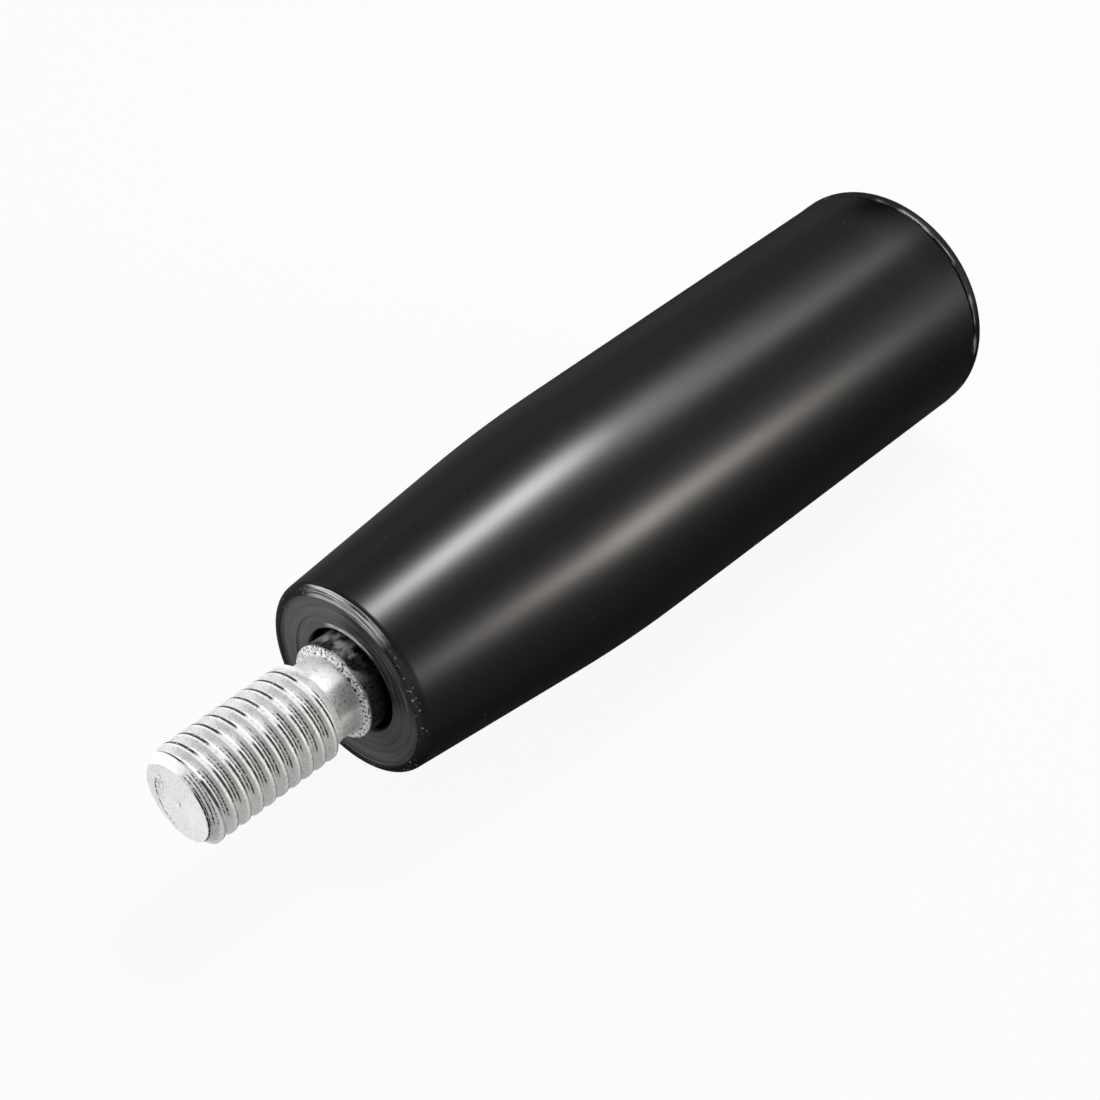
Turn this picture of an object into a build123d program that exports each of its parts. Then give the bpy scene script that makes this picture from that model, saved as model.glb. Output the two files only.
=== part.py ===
# Revolving machine handle: a moulded grip that turns freely on a headed steel spindle.
# The spindle goes in from the far end, and an end cap pressed into the grip covers its head.
# Lengths are in millimetres. The axis lies level along X, as on an upright handwheel, with +Z up.
# The origin is the middle of the spindle's shoulder. The grip lies on the +X side of it, and
# the threaded stud points to -X, into the machine.
import os

from build123d import *

os.makedirs("parts", exist_ok=True)

# Threaded stud, M10 x 1.5, drawn plain at its crest diameter
thread_dia = 10.0
thread_len = 15.4
tip_chamfer = 0.9
neck_dia = 8.2
neck_len = 3.3
neck_corner = 0.3

# Shank and head of the spindle
shank_dia = 10.0
shoulder_stand = 1.8
shoulder_chamfer = 0.1
head_dia = 16.0
head_len = 8.0
head_chamfer = 0.6
head_corner = 0.4
key_size = 8.0
key_depth = 5.0

# Grip: a slim front cone that swells into a long, nearly straight rear
grip_len = 85.4
front_dia = 20.7
swell_dia = 26.5
swell_at = 28.8
rear_dia = 28.1
swell_radius = 160.0
rim_round = 1.1
face_recess = 0.3
rear_chamfer = 0.25
mouth_depth = 2.5
mouth_chamfer = 0.3
bore_lead = 0.5

# End cap
cap_flange = 1.6
cap_proud = 0.1
cap_edge = 0.7
spigot_len = 6.0
spigot_wall = 2.2
spigot_lead = 0.4

# Clearances
running_gap = 0.05
end_play = 0.15
mouth_gap = 0.5
head_gap = 0.5

# Radii of the spindle
thread_r = thread_dia / 2
neck_r = neck_dia / 2
shank_r = shank_dia / 2
head_r = head_dia / 2

# Radii of the grip and the end cap, whose spigot is a press fit in the head's pocket
bore_r = shank_r + running_gap
mouth_r = shank_r + mouth_gap
pocket_r = head_r + head_gap
front_r = front_dia / 2
swell_r = swell_dia / 2
rear_r = rear_dia / 2
cap_r = rear_r + cap_proud
spigot_r = pocket_r

# Places along the axis, from the stud's tip to the end cap's outer face
thread_x = -neck_len
tip_x = thread_x - thread_len
rim_x = shoulder_stand
face_x = rim_x + face_recess
mouth_x = face_x + mouth_depth
swell_x = rim_x + swell_at
rear_x = rim_x + grip_len
cap_x = rear_x + cap_flange
spigot_x = rear_x - spigot_len
head_x = spigot_x - end_play
head_front_x = head_x - head_len
pocket_x = head_front_x - end_play


# Spindle: turned from bar, with a hexagon socket in the head for tightening it from the far end
with BuildPart() as spindle:
    with BuildSketch(Plane.XY):
        with BuildLine():
            half_run_in = (thread_r - neck_r) / 2
            Polyline(
                (tip_x, 0),
                (tip_x, thread_r - tip_chamfer),
                (tip_x + tip_chamfer, thread_r),
                (thread_x - half_run_in, thread_r),
                (thread_x + half_run_in, neck_r),
                (-neck_corner, neck_r),
                (0, neck_r + neck_corner),
                (0, shank_r - shoulder_chamfer),
                (shoulder_chamfer, shank_r),
                (head_front_x - head_corner, shank_r),
                (head_front_x, shank_r + head_corner),
                (head_front_x, head_r),
                (head_x - head_chamfer, head_r),
                (head_x, head_r - head_chamfer),
                (head_x, 0),
                close=True,
            )
        make_face()
    revolve(axis=Axis.X)
    with BuildSketch(Plane.YZ.offset(head_x)):
        RegularPolygon(radius=key_size / 2, side_count=6, major_radius=False)
    extrude(amount=-key_depth, mode=Mode.SUBTRACT)
spindle.part.label = "spindle"
export_step(spindle.part, "parts/spindle.step")


# Grip: moulded in one piece, with the front face turned down inside its rounded rim
with BuildPart() as grip:
    with BuildSketch(Plane.XY):
        with BuildLine():
            lip_r = front_r - rim_round
            FilletPolyline(
                (rear_x - rear_chamfer, rear_r),
                (swell_x, swell_r),
                (rim_x, front_r),
                (rim_x, lip_r),
                radius=[swell_radius, rim_round],
            )
            Polyline(
                (rim_x, lip_r),
                (face_x, lip_r),
                (face_x, mouth_r + mouth_chamfer),
                (face_x + mouth_chamfer, mouth_r),
                (mouth_x, mouth_r),
                (mouth_x, bore_r),
                (pocket_x - bore_lead, bore_r),
                (pocket_x, bore_r + bore_lead),
                (pocket_x, pocket_r),
                (rear_x, pocket_r),
                (rear_x, rear_r - rear_chamfer),
                (rear_x - rear_chamfer, rear_r),
            )
        make_face()
    revolve(axis=Axis.X)
grip.part.label = "grip"
export_step(grip.part, "parts/grip.step")


# End cap: a flange that closes the grip's far end, on a hollow spigot that traps the head. Its
# outer edge is broken by two bevels.
with BuildPart() as end_cap:
    with BuildSketch(Plane.XY):
        with BuildLine():
            first_bevel = 0.3 * cap_edge
            Polyline(
                (cap_x, 0),
                (cap_x, cap_r - cap_edge),
                (cap_x - first_bevel, cap_r - first_bevel),
                (cap_x - cap_edge, cap_r),
                (rear_x, cap_r),
                (rear_x, spigot_r),
                (spigot_x + spigot_lead, spigot_r),
                (spigot_x, spigot_r - spigot_lead),
                (spigot_x, spigot_r - spigot_wall),
                (rear_x, spigot_r - spigot_wall),
                (rear_x, 0),
                close=True,
            )
        make_face()
    revolve(axis=Axis.X)
end_cap.part.label = "end_cap"
export_step(end_cap.part, "parts/end_cap.step")
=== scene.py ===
import math

import bmesh
import bpy
import numpy as np
from mathutils import Matrix, Vector


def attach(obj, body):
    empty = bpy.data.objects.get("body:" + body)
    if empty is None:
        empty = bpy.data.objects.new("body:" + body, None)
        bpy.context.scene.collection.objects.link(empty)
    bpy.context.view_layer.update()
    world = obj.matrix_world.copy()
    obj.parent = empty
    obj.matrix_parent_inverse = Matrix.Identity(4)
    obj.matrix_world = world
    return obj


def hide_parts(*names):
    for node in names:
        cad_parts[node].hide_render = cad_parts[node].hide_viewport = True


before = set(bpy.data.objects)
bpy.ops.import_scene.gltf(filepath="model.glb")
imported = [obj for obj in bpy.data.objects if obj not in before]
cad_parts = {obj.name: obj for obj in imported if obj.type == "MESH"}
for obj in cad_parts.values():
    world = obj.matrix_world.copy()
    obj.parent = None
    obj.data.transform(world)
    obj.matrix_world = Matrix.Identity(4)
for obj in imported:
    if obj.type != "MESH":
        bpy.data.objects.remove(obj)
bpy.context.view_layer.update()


# Spindle. Turned from steel bar in one piece: a rolled M10 x 1.5 stud, an undercut neck, the
# shank that the grip turns on, and a head with a hexagon socket. It is zinc plated all over.
# Lengths in this file are in millimetres, with x measured along the axis from the shoulder.
mm = 0.001
stud_steps = 144
tip_x = -18.7
tip_chamfer = 0.9
tip_r = 4.1
centre_mark_r = 0.52
centre_mark_depth = 0.16
cut_y = -0.93
cut_z = -0.08
thread_start_x = tip_x + tip_chamfer
thread_end_x = -3.25
thread_end_degrees = 60
thread_r = 5.0
thread_root_r = 4.1
thread_pitch = 1.5
thread_crest_x = -3.43
crest_half = 0.23
crest_round = 0.16
root_round = 0.13
flank_line_gap = 0.18
tip_line_gap = 0.24
neck_x = -2.73
neck_r = 4.1
shank_r = 5.0
head_front_x = 73.05
head_x = 81.05
head_r = 8.0
socket_face_r = 5.4
key_r = 4.0
key_floor_x = 76.05
drill_r = 3.5
drill_depth = 0.9
weld_gap = 0.0004
sharp_edge_degrees = 32
zinc_white = (0.93, 0.93, 0.925)
dirt_and_shade_colour = (0.03, 0.03, 0.03)


def rounded(corners, sweep):
    """Rounds an outline's corners, each (x, radius, rounding), with a point every sweep degrees."""
    points = []
    for i, (x, r, rounding) in enumerate(corners):
        if rounding == 0:
            points.append((x, r))
            continue
        here = Vector((x, r))
        back = (Vector(corners[i - 1][:2]) - here).normalized()
        ahead = (Vector(corners[i + 1][:2]) - here).normalized()
        half = back.angle(ahead) / 2
        centre = here + (back + ahead).normalized() * (rounding / math.sin(half))
        start = here + back * (rounding / math.tan(half)) - centre
        end = here + ahead * (rounding / math.tan(half)) - centre
        turn = math.atan2(start.x * end.y - start.y * end.x, start.dot(end))
        count = 2 * max(1, math.ceil(abs(math.degrees(turn)) / sweep / 2))
        for k in range(count + 1):
            c, s = math.cos(turn * k / count), math.sin(turn * k / count)
            points.append((centre.x + c * start.x - s * start.y,
                           centre.y + s * start.x + c * start.y))
    return points


def turned(outline, steps):
    """A sheet turned about the axis from an outline of (x, radius). A third number makes that
    ring a polygon of so many flats, as a hexagon socket has."""
    turns = 2 * math.pi * np.arange(steps) / steps
    points, faces = [], []
    column = np.arange(steps)
    beside = (column + 1) % steps
    for i, (x, r, *flats) in enumerate(outline):
        reach = np.full(steps, float(r))
        if flats:
            half = math.pi / flats[0]
            reach = r / np.cos(turns % (2 * half) - half)
        ring = [np.full(steps, float(x)), reach * np.cos(turns), reach * np.sin(turns)]
        points.append(np.stack(ring, 1))
        if i:
            near, far = (i - 1) * steps, i * steps
            faces.append(np.stack([near + column, near + beside, far + beside, far + column], 1))
    return np.concatenate(points), np.concatenate(faces)


def rolled_thread(steps):
    """A sheet for the right-hand thread, whose rows follow the helix from the tip to the neck."""
    half, hair = thread_pitch / 2, 0.0001
    form = rounded([
        (crest_half - thread_pitch, thread_r, 0), (-half, thread_root_r, root_round),
        (-crest_half, thread_r, crest_round), (crest_half, thread_r, crest_round),
        (half, thread_root_r, root_round), (thread_pitch - crest_half, thread_r, 0)], sweep=15)
    form = [(d, r) for d, r in form if -hair < d + half < thread_pitch - hair]
    rows = len(form)
    crests = thread_crest_x + thread_pitch * np.arange(-12, 3)
    start = (crests[:, None] + np.array([d for d, r in form])).ravel()
    depth = np.tile([r for d, r in form], len(crests))
    turns = np.arange(steps) / steps
    x = np.clip(start[:, None] + thread_pitch * turns, tip_x, neck_x)
    chamfer = tip_r + (x - tip_x)
    run_out = thread_r - (x - thread_end_x) * math.tan(math.radians(thread_end_degrees))
    r = np.minimum(np.minimum(depth[:, None], chamfer), np.maximum(neck_r, run_out))
    angle = 2 * math.pi * turns
    points = np.stack([x, r * np.cos(angle), r * np.sin(angle)], 2).reshape(-1, 3)
    row, column = np.meshgrid(np.arange(len(start) - rows - 1), np.arange(steps), indexing="ij")
    here = row * steps + column
    beside = np.where(column < steps - 1, here + 1, (row + rows) * steps)
    faces = np.stack([here, beside, beside + steps, here + steps], 2).reshape(-1, 4)
    reach = points[:, 0][faces]
    real = (reach.max(1) > tip_x + 1e-6) & (reach.min(1) < neck_x - 1e-6)
    return points, faces[real]


def welded(name, *sheets):
    """Makes one piece of sheets that meet edge to edge."""
    form = bmesh.new()
    for points, faces in sheets:
        used = np.unique(faces)
        corners = {int(k): form.verts.new(points[k] * mm) for k in used}
        for side in faces.tolist():
            form.faces.new([corners[k] for k in side])
    bmesh.ops.remove_doubles(form, verts=form.verts, dist=weld_gap * mm)
    bmesh.ops.recalc_face_normals(form, faces=form.faces)
    mesh = bpy.data.meshes.new(name)
    form.to_mesh(mesh)
    form.free()
    mesh.shade_smooth()
    mesh.set_sharp_from_angle(angle=math.radians(sharp_edge_degrees))
    piece = bpy.data.objects.new(name, mesh)
    bpy.context.scene.collection.objects.link(piece)
    return piece


class Finish:
    """A material that is built up node by node, or the air that is built up the same way."""

    def __init__(self, name, shelf=bpy.data.materials):
        self.made = shelf.new(name)
        self.made.use_nodes = True
        self.tree = self.made.node_tree
        self.tree.nodes.clear()

    def add(self, kind, settings=None, sockets=None, output=0):
        """Adds a node, sets it, and joins or fills its sockets. Returns one of its outputs."""
        node = self.tree.nodes.new("ShaderNode" + kind)
        for name, value in (settings or {}).items():
            setattr(node, name, value)
        for name, value in (sockets or {}).items():
            if isinstance(value, Signal):
                self.tree.links.new(value.socket, node.inputs[name])
            else:
                node.inputs[name].default_value = value
        return Signal(self, node.outputs[output]) if node.outputs else None

    def maths(self, operation, *values):
        return self.add("Math", {"operation": operation}, dict(enumerate(values)))

    def mixed(self, share, bare, covered):
        """A colour that goes from bare to covered as share goes from 0 to 1."""
        return self.add("Mix", {"data_type": "RGBA"},
                        {0: share, 6: (*bare, 1), 7: (*covered, 1)}, output=2)

    def show(self, shader):
        """Puts the finished shader on the surface and returns the material."""
        self.add("OutputMaterial", sockets={"Surface": shader})
        return self.made


class TurnedFinish(Finish):
    """A finish for a piece that is turned about the axis. It knows how far a point lies along
    the axis, towards +Y and +Z, and out from the axis, in millimetres."""

    def __init__(self, name):
        super().__init__(name)
        self.place = self.add("TexCoord", output="Object")
        self.along = self.add("SeparateXYZ", sockets={"Vector": self.place}, output="X") * 1000
        self.y = self.add("SeparateXYZ", sockets={"Vector": self.place}, output="Y") * 1000
        self.z = self.add("SeparateXYZ", sockets={"Vector": self.place}, output="Z") * 1000
        self.out = (self.y * self.y + self.z * self.z) ** 0.5


class Signal:
    """A node's output, so that shader maths reads as plain expressions."""

    def __init__(self, finish, socket):
        self.finish = finish
        self.socket = socket

    def __add__(self, other):
        return self.finish.maths("ADD", self, other)

    def __radd__(self, other):
        return self.finish.maths("ADD", other, self)

    def __sub__(self, other):
        return self.finish.maths("SUBTRACT", self, other)

    def __rsub__(self, other):
        return self.finish.maths("SUBTRACT", other, self)

    def __mul__(self, other):
        return self.finish.maths("MULTIPLY", self, other)

    def __rmul__(self, other):
        return self.finish.maths("MULTIPLY", other, self)

    def __truediv__(self, other):
        return self.finish.maths("DIVIDE", self, other)

    def __pow__(self, other):
        return self.finish.maths("POWER", self, other)

    def band(self, low, high, under=0.0, over=1.0):
        """Goes smoothly from under to over as this goes from low to high."""
        return self.finish.add("MapRange", {"interpolation_type": "SMOOTHSTEP"},
                               {"Value": self, "From Min": low, "From Max": high,
                                "To Min": under, "To Max": over})

    def fade(self, low, high):
        """Goes smoothly from 1 to 0 as this goes from low to high."""
        return self.band(low, high, 1.0, 0.0)

    def between(self, start, full, fading, end):
        """Is 1 from full to fading, and goes smoothly to 0 at start and at end."""
        return self.band(start, full) * self.fade(fading, end)


def turning_marks(finish, fineness):
    """Rings that a lathe tool leaves, from 0 to 1: the same all the way round."""
    ring = finish.add("CombineXYZ", sockets={"X": finish.along, "Y": finish.out})
    return finish.add("TexNoise", {"noise_dimensions": "2D"},
                      {"Vector": ring, "Scale": fineness, "Detail": 2.0, "Roughness": 0.6})


def specks(finish, size, detail):
    """Cloudy spots about size millimetres across, from 0 to 1, with more or less fine detail."""
    return finish.add("TexNoise", {}, {"Vector": finish.place, "Scale": 1000 / size,
                                       "Detail": detail, "Roughness": 0.55})


def even_lines(finish, across, apart):
    """Lines that lie so far apart across a surface, from -1 midway between them to 1 on them."""
    return finish.maths("COSINE", across * (2 * math.pi / apart))


def toward_side(finish, degrees):
    """How squarely a point faces one side of the axis, from -1 to 1: 0 is +Y, and 90 is +Z."""
    turn = math.radians(degrees)
    return (finish.y * math.cos(turn) + finish.z * math.sin(turn)) / finish.out


def zinc_plated_steel():
    """Zinc over turned and rolled steel: white and finely pitted, with a nicked shoulder and fine
    dark lines in its flanks on one side. Painted shade darkens the thread's edges, crests and -Y
    side and the neck, and draws a dish on the cut end; painted reflection blackens the shank."""
    zinc = TurnedFinish("zinc_plated_steel")
    along = zinc.along
    pits = specks(zinc, 0.3, 2.0)
    nicks = specks(zinc, 0.28, 1.0)
    grit = specks(zinc, 0.16, 1.0)
    clouds = specks(zinc, 2.5, 4.0)
    marks = turning_marks(zinc, 5.0)
    lined_and_shaded_side = toward_side(zinc, 144)
    painted_shade_side = toward_side(zinc, 178).band(0.3, 0.9)
    rough_side_and_crest_shade = toward_side(zinc, 113).band(0.75, 0.97)

    # The surfaces follow each other along the axis, from the cut end to the shank.
    cut_off = along.fade(tip_x + 0.1, tip_x + 0.3)
    chamfered = along.between(tip_x + 0.04, tip_x + 0.1,
                              thread_start_x - 0.2, thread_start_x - 0.1)
    threaded = along.between(thread_start_x - 0.2, thread_start_x,
                             thread_end_x - 0.35, thread_end_x - 0.15)
    necked = along.between(neck_x - 0.17, neck_x + 0.03, -0.2, 0.0)
    dark_painted_shank = along.band(0.1, 0.4)

    # Painted shade darkens the grip-facing flanks from the crest down, and the thread's first edge.
    turns = zinc.maths("ARCTAN2", zinc.z, zinc.y) / (2 * math.pi)
    from_crest = zinc.maths("WRAP", along - thread_crest_x - thread_pitch * turns,
                            thread_pitch / 2, -thread_pitch / 2)
    unshaded_side = (toward_side(zinc, 110) + 0.08 * clouds).band(0.990, 1.035)
    lower_side = toward_side(zinc, 193).band(0.75, 0.95)
    upper_side = toward_side(zinc, 73).band(0.7, 0.95)
    painted_flank_shade = (from_crest + 0.1 * upper_side).band(0.0, 0.08) * from_crest.fade(0.45, 0.55)
    painted_flank_shade = painted_flank_shade * (1 - unshaded_side) * (1 - 0.5 * lower_side)
    painted_first_edge_shade = along.between(thread_start_x - 0.15, thread_start_x - 0.08,
                               thread_start_x + 0.04, thread_start_x + 0.12)
    painted_first_edge_shade = painted_first_edge_shade * toward_side(zinc, 62).band(0.8, 0.95)
    painted_edge_shade = (0.95 * threaded * painted_flank_shade + 0.9 * painted_first_edge_shade) * grit.band(0.28, 0.38)

    # On one side, fine dark lines run along the flanks that face the tip and round the chamfer.
    lined_patch = (lined_and_shaded_side + 0.5 * clouds).band(1.05, 1.15)
    flank_lines = even_lines(zinc, from_crest + 0.657, flank_line_gap).band(-0.3, 0.3)
    flank_lines = flank_lines * from_crest.between(-0.76, -0.72, -0.42, -0.38)
    tip_lines = even_lines(zinc, along - tip_x, tip_line_gap).band(0.1, 0.6)
    fine_lines = (flank_lines * threaded + tip_lines * chamfered) * lined_patch * grit.band(0.38, 0.48)

    # Painted shade of a dish: a dark line round a point off the axis, grey inside it, a dark rim.
    aside, above = zinc.y - cut_y, zinc.z - cut_z
    from_cut = (aside * aside + above * above) ** 0.5
    painted_dish_line = from_cut.between(3.74, 3.80, 3.92, 3.98) * nicks.band(0.40, 0.48)
    painted_dish_line = painted_dish_line * toward_side(zinc, -25).band(0.5, 0.85)
    painted_dish_shade = from_cut.band(2.2, 3.7) * from_cut.band(3.8, 3.9, 0.42, 0.0) * nicks.band(0.4, 0.6)
    painted_dish_shade = painted_dish_shade * toward_side(zinc, 15).band(0.7, 0.95) + 0.06 * from_cut.band(3.9, 4.0)
    speckled = 0.20 * (grit + 0.3 * nicks).band(0.62, 0.74) * clouds.band(0.35, 0.55)
    # Painted shade also darkens the edge of the cut end on one side.
    painted_tip_edge_shade = along.between(tip_x + 0.01, tip_x + 0.03, tip_x + 0.12, tip_x + 0.18)
    painted_tip_edge_shade = painted_tip_edge_shade * toward_side(zinc, 176).band(0.57, 0.8) * grit.band(0.3, 0.36)

    # Painted shade greys the crests on one side and the thread and chamfer towards -Y.
    crest_shade_mask = from_crest.between(-0.25, -0.05, 0.42, 0.50)
    thread_painted_shade = 0.06 * painted_shade_side + 0.2 * rough_side_and_crest_shade * crest_shade_mask
    # The neck is grey, and darker still where painted shade lies on two of its sides.
    neck_grey_and_shade = 0.14 + lined_and_shaded_side.band(0.90, 0.985) * (0.2 + 0.5 * clouds)
    neck_grey_and_shade = neck_grey_and_shade + 0.12 * toward_side(zinc, 97).band(0.93, 0.99)
    nicked = along.between(-0.2, -0.1, 0.08, 0.25) * nicks.band(0.40, 0.48, 0.8, 0.0)
    # Painted reflection and shade make the shank near black, with painted highlights on top.
    shank_painted_highlights = toward_side(zinc, 92).band(0.6, 0.95) * clouds.band(0.42, 0.58)

    dirt_and_shade = (pits.band(0.3, 0.5, 0.2, 0.0) + 0.08 * clouds) * (1 - 0.8 * cut_off)
    dirt_and_shade = dirt_and_shade + painted_edge_shade + fine_lines + painted_tip_edge_shade + nicked
    dirt_and_shade = dirt_and_shade + cut_off * (painted_dish_line + painted_dish_shade + speckled) + 0.3 * chamfered * painted_shade_side
    dirt_and_shade = dirt_and_shade + threaded * thread_painted_shade + necked * neck_grey_and_shade + 0.82 * dark_painted_shank * (1 - shank_painted_highlights)
    rough = 0.55 + 0.2 * clouds + 0.06 * marks - 0.2 * cut_off
    rough = rough + 0.2 * threaded * rough_side_and_crest_shade - 0.38 * dark_painted_shank * (1 - shank_painted_highlights)
    relief = 0.9 * pits + 0.3 * marks + 0.3 * fine_lines
    grain = zinc.add("Bump", {}, {"Strength": 0.8, "Distance": 0.03 * mm, "Height": relief})
    return zinc.show(zinc.add("BsdfPrincipled", {}, {
        "Base Color": zinc.mixed(dirt_and_shade, zinc_white, dirt_and_shade_colour),
        "Metallic": 1 - threaded * (0.5 + 0.3 * rough_side_and_crest_shade),
        "Roughness": rough,
        "Normal": grain,
    }))


tip_outline = [
    (tip_x + centre_mark_depth, 0), (tip_x + 0.13, 0.2), (tip_x + 0.03, 0.42),
    (tip_x, centre_mark_r), (tip_x, 1.6), (tip_x, 2.8), (tip_x, 3.8), (tip_x, tip_r)]
body_outline = rounded([
    (neck_x, neck_r, 0), (0, neck_r, 0.45), (0, shank_r, 0.12), (2.2, shank_r, 0),
    (head_front_x, shank_r, 0.4), (head_front_x, head_r, 0.2), (head_x, head_r, 0.6),
    (head_x, socket_face_r, 0)], sweep=12)
socket_outline = [
    (head_x, socket_face_r), (head_x, key_r + 0.1, 6), (head_x, key_r, 6),
    (key_floor_x, key_r, 6), (key_floor_x, drill_r), (key_floor_x - drill_depth, 0)]
spindle = welded("spindle_turned", turned(tip_outline, stud_steps), rolled_thread(stud_steps),
                 turned(body_outline, stud_steps), turned(socket_outline, stud_steps))
spindle.data.materials.append(zinc_plated_steel())
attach(spindle, "spindle")
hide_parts("spindle")


# Grip. Moulded in one piece of hard black plastic. Its front face is turned flat inside the
# rounded rim, and a short counterbore lets the spindle's shank in with a little air round it.
grip_steps = 200
rim_x = 1.8
rim_round = 1.1
face_x = 2.1
swell_x = 30.6
swell_blend = 160.0
rear_x = 87.2
rear_chamfer = 0.25
front_r = 10.35
lip_r = 9.35
groove_r = 8.05
step_r = 7.2
step_depth = 0.12
swell_r = 13.25
rear_r = 14.05
bore_r = 5.05
bore_end_x = 72.4
mouth_r = 5.5
mouth_end_x = 4.6
pocket_r = 8.5
pocket_floor_x = 72.9
plastic_black = (0.0025, 0.0025, 0.0026)
plastic_pale_wear_and_light = (0.70, 0.70, 0.70)


def ring_specks(finish, across, length, width):
    """Spots drawn out along the rings about the axis, from 0 to 1. The rings lie side by side
    in across."""
    ring = finish.add("CombineXYZ", sockets={
        "X": finish.y / finish.out * (10 / length),
        "Y": finish.z / finish.out * (10 / length),
        "Z": across / width,
    })
    return finish.add("TexNoise", {}, {"Vector": ring, "Scale": 1.0, "Detail": 2.0})


def glossy_or_dull(finish, colour, rough, gloss, relief, metal=0.0, faded=0.0):
    """Black plastic whose gloss weakens where the surface turns away from the eye, or is faded."""
    grain = finish.add("Bump", {}, {"Strength": 0.35, "Distance": 0.03 * mm, "Height": relief})
    polished = finish.add("BsdfPrincipled", {}, {
        "Base Color": colour, "Metallic": metal, "Roughness": rough, "Specular IOR Level": gloss,
        "Normal": grain})
    dull = finish.add("BsdfPrincipled", {}, {
        "Base Color": colour, "Roughness": 0.7, "Specular IOR Level": 0.0, "Normal": grain})
    turned_away = finish.add("LayerWeight", {}, {"Blend": 0.5}, output="Facing")
    dulled = turned_away.band(0.18, 0.60, 0.0, 0.8) + faded
    return finish.show(finish.add("MixShader", {}, {0: dulled, 1: polished, 2: dull}))


def moulded_black():
    """Hard black plastic with a moulded gloss that fades a little near the cap, a few dust
    specks, small nicks along its edges, and a turned front with tool rings and painted light."""
    black = TurnedFinish("moulded_black")
    along, out = black.along, black.out
    flow = specks(black, 9.0, 2.0)
    patches = specks(black, 4.0, 1.0)
    nicks = specks(black, 0.35, 1.0)
    dust = nicks.band(0.78, 0.84)
    marks = turning_marks(black, 4.0)
    arcs = ring_specks(black, out + along, 5.0, 0.12)

    # The turned face is scuffed; painted reflection lightens one side and painted shade darkens
    # another, crossed there by painted highlights. Painted glints lie near its corners.
    on_face = along.fade(face_x + 0.22, face_x + 0.3) * out.fade(lip_r - 0.1, lip_r + 0.1)
    face_painted_shade_side = toward_side(black, 133).band(0.60, 0.90)
    scuffs_and_painted_light = 0.08 + 0.05 * toward_side(black, 48).band(0.5, 1.0) + 0.29 * marks * arcs
    scuffs_and_painted_light = scuffs_and_painted_light * (1 - 0.75 * face_painted_shade_side) + 0.14 * face_painted_shade_side * arcs.band(0.5, 0.6)
    corners = out.between(5.80, 5.90, 6.15, 6.25) + out.between(9.10, 9.20, 9.6, 9.8)
    # Painted glints: pale arcs near the mouth's and the lip's corners, on the upper side.
    wear_and_glints = (arcs + 0.07 * corners).band(0.475, 0.505) * toward_side(black, 93).band(0.82, 0.95)
    wear_and_glints = wear_and_glints * along.fade(face_x + 0.2, face_x + 0.3)
    wear_and_glints = wear_and_glints * (out.fade(6.2, 6.4) + out.band(9.0, 9.2))

    # Nicks lie along the lip of the front and along the far edge, in patches.
    on_lip = along.fade(face_x, face_x + 0.2) * out.band(lip_r - 0.25, lip_r - 0.05)
    at_rear = along.band(rear_x - 0.3, rear_x - 0.2)
    chips = on_lip * nicks.band(0.66, 0.7) + at_rear * nicks.band(0.6, 0.66)
    chips = chips * patches.band(0.45, 0.55)

    pale = dust * 0.13 + chips * 0.5 + wear_and_glints * 0.9 + on_face * scuffs_and_painted_light
    colour = black.mixed(pale, plastic_black, plastic_pale_wear_and_light)
    rough = 0.30 + 0.03 * flow + on_face * 0.15 * marks
    rough = rough + along.band(rear_x - 9.2, rear_x - 0.2, 0.0, 0.05)
    relief = flow * 0.25 + on_face * (marks * 2 + arcs) + dust * 0.3 + chips * 0.5
    faded = along.band(rear_x - 6.2, rear_x - 0.2) * toward_side(black, 108).band(0.82, 0.97)
    return glossy_or_dull(black, colour, rough, 0.35, relief, metal=on_face * 0.4,
                          faded=0.3 * faded)


grip_outline = rounded([
    (rear_x, rear_r - rear_chamfer, 0), (rear_x - rear_chamfer, rear_r, 0),
    (swell_x, swell_r, swell_blend), (rim_x, front_r, rim_round), (rim_x, lip_r, 0.12),
    (face_x, lip_r, 0.12), (face_x, groove_r + 0.05, 0), (face_x + 0.03, groove_r, 0),
    (face_x, groove_r - 0.05, 0), (face_x, step_r, 0.04),
    (face_x + step_depth, step_r - 0.05, 0.04), (face_x + step_depth, mouth_r + 0.25, 0.05),
    (face_x + 0.4, mouth_r, 0), (mouth_end_x, mouth_r, 0), (mouth_end_x, bore_r, 0),
    (bore_end_x, bore_r, 0), (pocket_floor_x, bore_r + 0.5, 0), (pocket_floor_x, pocket_r, 0),
    (rear_x, pocket_r, 0), (rear_x, rear_r - rear_chamfer, 0)], sweep=1.0)
grip = welded("grip_moulded", turned(grip_outline, grip_steps))
grip.data.materials.append(moulded_black())
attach(grip, "grip")
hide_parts("grip")


# End cap. A moulded plug of the same black plastic, a shade duller, pressed into the grip's far
# end over the spindle's head. Its flange is the grip's closed end, and sits a hair high.
cap_x = 88.8
cap_r = 14.05
cap_round = 0.7
cap_lift = 0.1
spigot_x = 81.2
spigot_chamfer = 0.4
spigot_inner_r = 6.3
cap_black = (0.004, 0.004, 0.004)
cap_rubbed = (0.30, 0.30, 0.30)


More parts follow.
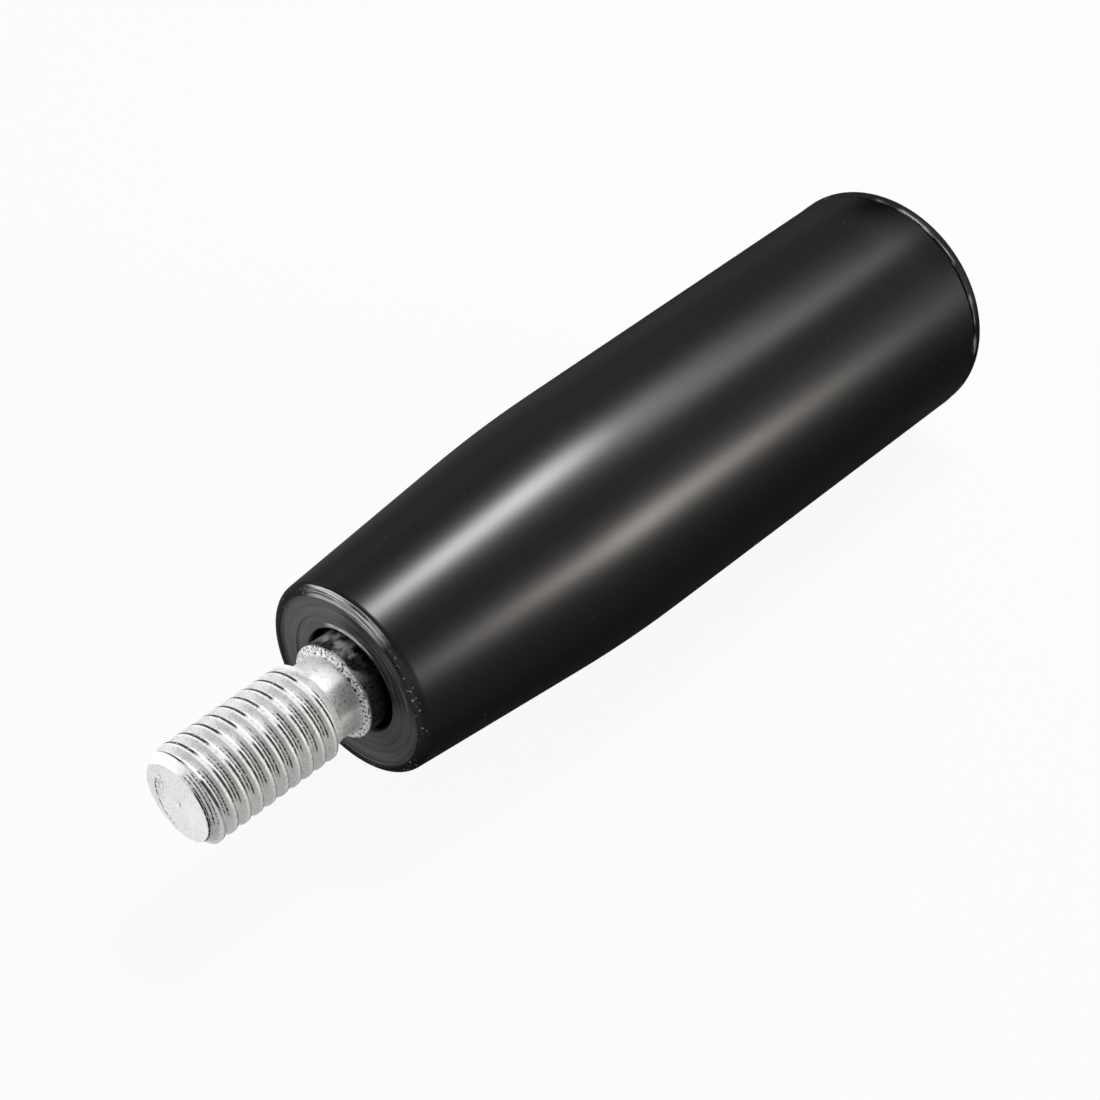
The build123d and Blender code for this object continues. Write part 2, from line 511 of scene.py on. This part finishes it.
def satin_black():
    """The cap's black plastic, with a finer, duller skin, a turned outer face and a rubbed
    edge."""
    satin = TurnedFinish("satin_black")
    flow = specks(satin, 5.0, 2.0)
    patches = specks(satin, 5.0, 1.0)
    marks = turning_marks(satin, 3.0)
    arcs = ring_specks(satin, satin.out - satin.along, 2.2, 0.12)
    wear_and_glints = arcs.band(0.45, 0.55) * patches.band(0.48, 0.58)
    wear_and_glints = wear_and_glints * satin.along.fade(rear_x + 0.25, rear_x + 0.6)
    colour = satin.mixed(wear_and_glints, cap_black, cap_rubbed)
    return glossy_or_dull(satin, colour, 0.36 + 0.06 * flow, 0.2, flow * 0.3 + marks * 0.4)


cap_outline = rounded([
    (cap_x, 0, 0), (cap_x, 5.0, 0), (cap_x, 11.0, 0), (cap_x, cap_r, cap_round),
    (rear_x, cap_r, 0.15), (rear_x, pocket_r, 0), (spigot_x + spigot_chamfer, pocket_r, 0),
    (spigot_x, pocket_r - spigot_chamfer, 0), (spigot_x, spigot_inner_r, 0),
    (rear_x, spigot_inner_r, 0), (rear_x, 0, 0)], sweep=6.0)
cap_points, cap_faces = turned(cap_outline, grip_steps)
end_cap = welded("end_cap_moulded", (cap_points + np.array([0, 0, cap_lift]), cap_faces))
end_cap.data.materials.append(satin_black())
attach(end_cap, "grip")
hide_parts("end_cap")


# Floor. A plain pale sheet just under the handle. The eye sees it as white, with the
# handle's shadow on it; in gloss it shows a painted light, brightest on the window's side.
floor_z = -14.2
floor_reach = 6000
floor_dark = (0, 0, 0)
floor_white = (1, 1, 1)


def seen_and_mirrored(finish):
    """Whether the eye looks straight at a surface, and whether it sees it in gloss or glass."""
    mirrored = finish.add("LightPath", output="Is Glossy Ray")
    mirrored = mirrored + finish.add("LightPath", output="Is Transmission Ray")
    return finish.add("LightPath", output="Is Camera Ray"), mirrored


floor_corners = floor_reach * np.array([(-1, -1, 0), (1, -1, 0), (1, 1, 0), (-1, 1, 0)])
floor = welded("floor", (floor_corners + np.array([0, 0, floor_z]), np.array([[0, 1, 2, 3]])))
paper = Finish("pale_floor")
seen, mirrored = seen_and_mirrored(paper)
spot = paper.add("TexCoord", output="Object")
toward_window = (paper.add("SeparateXYZ", sockets={"Vector": spot}, output="X") * -620
                 + paper.add("SeparateXYZ", sockets={"Vector": spot}, output="Y") * 780)
painted_window_light = toward_window.band(-10, 15, 0.2, 1.0)
tone = paper.mixed(seen + mirrored * painted_window_light, floor_dark, floor_white)
lit = paper.add("BsdfDiffuse", {}, {"Color": (0.5, 0.5, 0.5, 1)})
white = paper.add("Emission", {}, {"Color": tone, "Strength": 1.0})
floor.data.materials.append(paper.show(
    paper.add("MixShader", {}, {0: seen * 0.93 + mirrored * 0.8, 1: lit, 2: white})))


# Light. White air lights the handle softly. One soft box hangs over its front and one over its
# far end, a slightly warm one stands low on the camera's right, and a window stands on its left
# and lights the stud.
air_level = 0.27
plain_white = (1, 1, 1)
warm_white = (1, 0.93, 0.87)

sky = Finish("white_air", bpy.data.worlds)
bpy.context.scene.world = sky.made
seen, mirrored = seen_and_mirrored(sky)
upward = sky.add("TexCoord", output="Generated")
height = sky.add("SeparateXYZ", sockets={"Vector": upward}, output="Z")
walls = seen + mirrored * height.fade(0.36, 0.58)
plain = sky.add("Background", {}, {"Color": (1, 1, 1, 1), "Strength": air_level})
white = sky.add("Background", {}, {"Color": (1, 1, 1, 1), "Strength": 1.0})
all_round = sky.add("MixShader", {}, {0: walls, 1: plain, 2: white})
sky.add("OutputWorld", {}, {"Surface": all_round})


def soft_box(name, aim, toward, reach, width, height, glow, colour):
    """A rectangular lamp that looks at aim from reach away, glow times as bright as white."""
    lamp = bpy.data.lights.new(name, "AREA")
    lamp.shape = "RECTANGLE"
    lamp.size = width * mm
    lamp.size_y = height * mm
    lamp.energy = glow * math.pi * width * height * mm * mm
    lamp.color = colour
    stand = bpy.data.objects.new(name, lamp)
    toward = Vector(toward).normalized()
    stand.location = (Vector(aim) + toward * reach) * mm
    stand.rotation_euler = toward.to_track_quat("Z", "Y").to_euler()
    bpy.context.scene.collection.objects.link(stand)


soft_box("overhead_soft_box", aim=(20, -3.6, 11.6), toward=(0.398, 0.076, 0.914), reach=600,
         width=130, height=200, glow=44, colour=plain_white)
soft_box("rear_soft_box", aim=(53, -5.2, 12.6), toward=(0.665, -0.06, 0.745), reach=600,
         width=110, height=150, glow=6.5, colour=plain_white)
soft_box("low_soft_box", aim=(32, -11, 7.5), toward=(0.52, -0.825, 0.22), reach=600,
         width=190, height=105, glow=24, colour=warm_white)
soft_box("window", aim=(-8, 0, 0), toward=(-0.62, 0.76, 0.12), reach=700,
         width=420, height=260, glow=4.6, colour=plain_white)


# Camera. It looks down on the handle from the stud's side, as the photograph does. The
# photograph's width and the focal length that it was taken with are in its own pixels.
photo_width = 1100
focal_length = 2000
sensor_width = 36
camera_at = Vector((-85.98, -104.72, 130.69))

lens = bpy.data.cameras.new("camera")
lens.sensor_width = sensor_width
lens.lens = focal_length / photo_width * sensor_width
lens.clip_start = 0.005
camera = bpy.data.objects.new("camera", lens)
forward = Vector((0.5676, 0.5108, -0.6457)).normalized()
right = Vector((0.6688, -0.7435, 0)).normalized()
right = (right - forward * right.dot(forward)).normalized()
up = right.cross(forward)
aimed = Matrix((right, up, -forward)).transposed()
camera.matrix_world = Matrix.Translation(camera_at * mm) @ aimed.to_4x4()
bpy.context.scene.collection.objects.link(camera)
bpy.context.scene.camera = camera
bpy.context.scene.view_settings.view_transform = "Standard"
